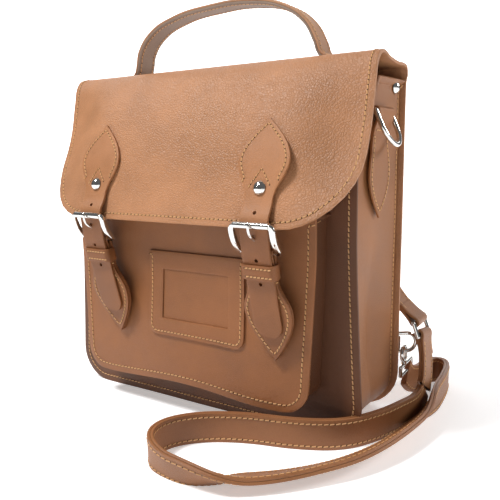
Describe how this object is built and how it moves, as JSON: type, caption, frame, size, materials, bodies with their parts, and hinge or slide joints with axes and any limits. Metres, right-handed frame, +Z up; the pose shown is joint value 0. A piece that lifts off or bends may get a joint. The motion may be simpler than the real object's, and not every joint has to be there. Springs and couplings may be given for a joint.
{
  "type": "satchel bag",
  "caption": "Leather satchel with a long front flap, buckled closure straps, a front pocket, a top handle and a carrying strap that lies in a loop on the floor.",
  "frame": {"origin": "middle of the back panel's bottom edge, on the surface that the bag stands on", "axes": "+X to the right of a person facing the front, front towards -Y, +Z up"},
  "size_m": [0.3429, 0.2776, 0.3493],
  "materials": {
    "leather_flap": "pebbled full-grain tan leather, satin",
    "leather_body": "smooth tan leather, satin",
    "leather_gusset": "smooth tan leather, satin",
    "leather_tab": "smooth tan leather with raw ochre edges",
    "leather_label": "smooth tan leather, satin",
    "leather_handle": "double tan leather, satin",
    "leather_strap": "double tan leather with stitched raw edges",
    "chrome_hardware": "polished",
    "chrome_rivet": "polished",
    "snap_steel": "plated"
  },
  "bodies": {
    "root": {"anchor_rivets": "chrome_rivet", "back_anchor": "leather_tab", "back_panel": "leather_body", "back_ring": "chrome_hardware", "corner_ring_left": "chrome_hardware", "corner_ring_right": "chrome_hardware", "corner_rivet_left": "chrome_rivet", "corner_rivet_right": "chrome_rivet", "corner_tab_left": "leather_tab", "corner_tab_right": "leather_tab", "gusset_stud_left": "chrome_rivet", "gusset_stud_right": "chrome_rivet", "hook_left": "chrome_hardware", "hook_right": "chrome_hardware", "label_card": "leather_label", "label_frame": "leather_label", "main_front_panel": "leather_body", "main_gusset": "leather_gusset", "pocket_front_panel": "leather_body", "pocket_gusset": "leather_gusset", "side_tab_left": "leather_tab", "side_tab_right": "leather_tab", "snap_socket_left": "snap_steel", "snap_socket_right": "snap_steel", "strap_back_left": "leather_strap", "strap_back_right": "leather_strap", "strap_end_back": "leather_strap", "strap_end_front": "leather_strap", "strap_link": "chrome_hardware", "strap_loop": "leather_strap"},
    "flap": {"flap": "leather_flap", "flap_strap_left": "leather_flap", "closure_tab_left": "leather_tab", "keeper_left": "leather_tab", "buckle_frame_left": "chrome_hardware", "flap_rivet_left": "chrome_rivet", "snap_stud_left": "snap_steel", "handle_foot_left": "leather_flap", "handle_rivet_left": "chrome_rivet", "flap_strap_right": "leather_flap", "closure_tab_right": "leather_tab", "keeper_right": "leather_tab", "buckle_frame_right": "chrome_hardware", "flap_rivet_right": "chrome_rivet", "snap_stud_right": "snap_steel", "handle_foot_right": "leather_flap", "handle_rivet_right": "chrome_rivet"},
    "handle": {"handle": "leather_handle"},
    "roller_left": {"buckle_roller_left": "chrome_hardware"},
    "prong_left": {"buckle_prong_left": "chrome_hardware"},
    "side_ring_left": {"side_ring_left": "chrome_hardware"},
    "hook_gate_left": {"hook_gate_left": "chrome_hardware"},
    "roller_right": {"buckle_roller_right": "chrome_hardware"},
    "prong_right": {"buckle_prong_right": "chrome_hardware"},
    "side_ring_right": {"side_ring_right": "chrome_hardware"},
    "hook_gate_right": {"hook_gate_right": "chrome_hardware"}
  },
  "joints": [
    {"name": "flap_hinge", "type": "hinge", "parent": "root", "child": "flap", "pos_m": [0, -0.0051, 0.284], "axis": [-1, 0, 0], "range_deg": [0, 150]},
    {"name": "handle_tip", "type": "hinge", "parent": "flap", "child": "handle", "pos_m": [0, -0.028, 0.3066], "axis": [1, 0, 0], "range_deg": [-20, 20], "stiffness_Nm_per_rad": 0.06},
    {"name": "roller_spin_left", "type": "hinge", "parent": "flap", "child": "roller_left", "pos_m": [-0.082, -0.12792, 0.17083], "axis": [1, 0, 0], "continuous": true},
    {"name": "prong_lift_left", "type": "hinge", "parent": "flap", "child": "prong_left", "pos_m": [-0.082, -0.116, 0.15], "axis": [1, 0, 0], "range_deg": [0, 15]},
    {"name": "side_ring_swing_left", "type": "hinge", "parent": "root", "child": "side_ring_left", "pos_m": [-0.14626, -0.042, 0.251], "axis": [0, 1, 0], "range_deg": [0, 120]},
    {"name": "hook_gate_left", "type": "hinge", "parent": "root", "child": "hook_gate_left", "pos_m": [-0.1516, 0.015, 0.0722], "axis": [-1, 0, 0], "range_deg": [0, 10], "stiffness_Nm_per_rad": 0.02},
    {"name": "roller_spin_right", "type": "hinge", "parent": "flap", "child": "roller_right", "pos_m": [0.082, -0.12792, 0.17083], "axis": [1, 0, 0], "continuous": true},
    {"name": "prong_lift_right", "type": "hinge", "parent": "flap", "child": "prong_right", "pos_m": [0.082, -0.116, 0.15], "axis": [1, 0, 0], "range_deg": [0, 15]},
    {"name": "side_ring_swing_right", "type": "hinge", "parent": "root", "child": "side_ring_right", "pos_m": [0.14626, -0.042, 0.251], "axis": [0, -1, 0], "range_deg": [0, 120]},
    {"name": "hook_gate_right", "type": "hinge", "parent": "root", "child": "hook_gate_right", "pos_m": [0.1516, 0.015, 0.0438], "axis": [1, 0, 0], "range_deg": [0, 10], "stiffness_Nm_per_rad": 0.02}
  ]
}
